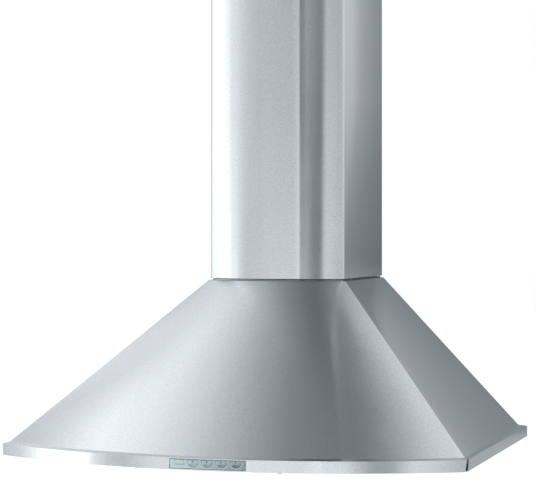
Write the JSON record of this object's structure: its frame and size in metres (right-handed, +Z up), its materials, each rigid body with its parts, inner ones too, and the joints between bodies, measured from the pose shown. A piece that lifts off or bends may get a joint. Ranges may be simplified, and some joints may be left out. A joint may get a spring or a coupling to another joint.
{
  "type": "wall mount range hood",
  "caption": "Wall-hung kitchen extractor hood with a bowed front lip, lofted canopy, telescoping duct cover, hinged baffle filters, blower and push buttons.",
  "frame": {"origin": "on the wall plane, on the hood's centreline, at the height of the lip's lower edge", "axes": "+Z up the wall, +Y into the wall, +X to the right of someone facing the hood"},
  "size_m": [0.762, 0.615, 0.8711],
  "materials": {
    "brushed_stainless": "fine brushed grain, satin",
    "galvanised_sheet": "zinc-coated sheet, dull satin",
    "plated_steel": "zinc-plated, semi-bright",
    "black_rubber": "matte",
    "motor_grey": "satin enamel",
    "white_plastic": "moulded, matte",
    "black_plastic": "moulded, matte",
    "panel_plastic": "moulded, satin metallic paint",
    "pilot_lens_green": "translucent moulding",
    "clear_glass": "polished",
    "frosted_glass": "frosted",
    "aluminium_sheet": "mill finish",
    "filter_steel": "satin"
  },
  "bodies": {
    "hood": {"canopy_shell": "brushed_stainless", "front_fascia": "brushed_stainless", "rear_panel": "galvanised_sheet", "underside_panel": "brushed_stainless", "filter_hinge_rods": "plated_steel", "blower_scroll": "galvanised_sheet", "inlet_ring_left": "galvanised_sheet", "inlet_ring_right": "galvanised_sheet", "motor_bracket": "galvanised_sheet", "motor_grommets": "black_rubber", "motor_body": "motor_grey", "blower_brackets": "galvanised_sheet", "capacitor": "white_plastic", "capacitor_strap": "galvanised_sheet", "junction_box": "galvanised_sheet", "junction_box_cover": "galvanised_sheet", "terminal_block": "white_plastic", "cable_gland": "black_plastic", "outlet_adaptor": "galvanised_sheet", "outlet_collar": "galvanised_sheet", "damper_rod": "plated_steel", "lower_duct_cover": "brushed_stainless", "cover_bracket": "galvanised_sheet", "control_bezel": "panel_plastic", "switch_body": "black_plastic", "pilot_lens": "pilot_lens_green", "lamp_housing_left": "galvanised_sheet", "lamp_housing_right": "galvanised_sheet", "lamp_bulb_left": "clear_glass", "lamp_bulb_right": "clear_glass", "lamp_lens_left": "frosted_glass", "lamp_lens_right": "frosted_glass", "lamp_bezel_left": "brushed_stainless", "lamp_bezel_right": "brushed_stainless", "lamp_driver": "white_plastic", "underside_screws": "plated_steel", "blower_screws": "plated_steel", "cover_screws": "plated_steel"},
    "upper_cover": {"upper_duct_cover": "brushed_stainless", "ceiling_bracket": "galvanised_sheet", "ceiling_screws": "plated_steel"},
    "wheel": {"impeller": "aluminium_sheet", "motor_shaft": "plated_steel", "impeller_nut": "plated_steel"},
    "damper_left": {"damper_flap_left": "aluminium_sheet"},
    "damper_right": {"damper_flap_right": "aluminium_sheet"},
    "filter_left": {"filter_frame_left": "filter_steel", "filter_baffles_left": "aluminium_sheet"},
    "filter_right": {"filter_frame_right": "filter_steel", "filter_baffles_right": "aluminium_sheet"},
    "latch_left": {"filter_latch_left": "black_plastic"},
    "latch_right": {"filter_latch_right": "black_plastic"},
    "light_button": {"button_light": "panel_plastic"},
    "low_button": {"button_low": "panel_plastic"},
    "medium_button": {"button_medium": "panel_plastic"},
    "high_button": {"button_high": "panel_plastic"}
  },
  "joints": [
    {"name": "upper_cover_slide", "type": "slide", "parent": "hood", "child": "upper_cover", "axis": [0, 0, 1], "range_m": [0, 0.36]},
    {"name": "wheel_spin", "type": "hinge", "parent": "hood", "child": "wheel", "pos_m": [0, -0.195, 0.14], "axis": [1, 0, 0], "continuous": true},
    {"name": "damper_left_hinge", "type": "hinge", "parent": "hood", "child": "damper_left", "pos_m": [0, -0.13025, 0.3], "axis": [0, 1, 0], "range_deg": [0, 75]},
    {"name": "damper_right_hinge", "type": "hinge", "parent": "hood", "child": "damper_right", "pos_m": [0, -0.13025, 0.3], "axis": [0, -1, 0], "range_deg": [0, 75]},
    {"name": "filter_left_hinge", "type": "hinge", "parent": "hood", "child": "filter_left", "pos_m": [-0.18, -0.066, 0.006], "axis": [1, 0, 0], "range_deg": [0, 75]},
    {"name": "filter_right_hinge", "type": "hinge", "parent": "hood", "child": "filter_right", "pos_m": [0.18, -0.066, 0.006], "axis": [1, 0, 0], "range_deg": [0, 75]},
    {"name": "latch_left_slide", "type": "slide", "parent": "filter_left", "child": "latch_left", "axis": [0, 1, 0], "range_m": [0, 0.005], "stiffness_N_per_m": 300, "springref_m": -0.002},
    {"name": "latch_right_slide", "type": "slide", "parent": "filter_right", "child": "latch_right", "axis": [0, 1, 0], "range_m": [0, 0.005], "stiffness_N_per_m": 300, "springref_m": -0.002},
    {"name": "light_button_press", "type": "slide", "parent": "hood", "child": "light_button", "axis": [0, 1, 0], "range_m": [0, 0.0025], "stiffness_N_per_m": 400, "springref_m": -0.002},
    {"name": "low_button_press", "type": "slide", "parent": "hood", "child": "low_button", "axis": [0, 1, 0], "range_m": [0, 0.0025], "stiffness_N_per_m": 400, "springref_m": -0.002},
    {"name": "medium_button_press", "type": "slide", "parent": "hood", "child": "medium_button", "axis": [0, 1, 0], "range_m": [0, 0.0025], "stiffness_N_per_m": 400, "springref_m": -0.002},
    {"name": "high_button_press", "type": "slide", "parent": "hood", "child": "high_button", "axis": [0, 1, 0], "range_m": [0, 0.0025], "stiffness_N_per_m": 400, "springref_m": -0.002}
  ]
}
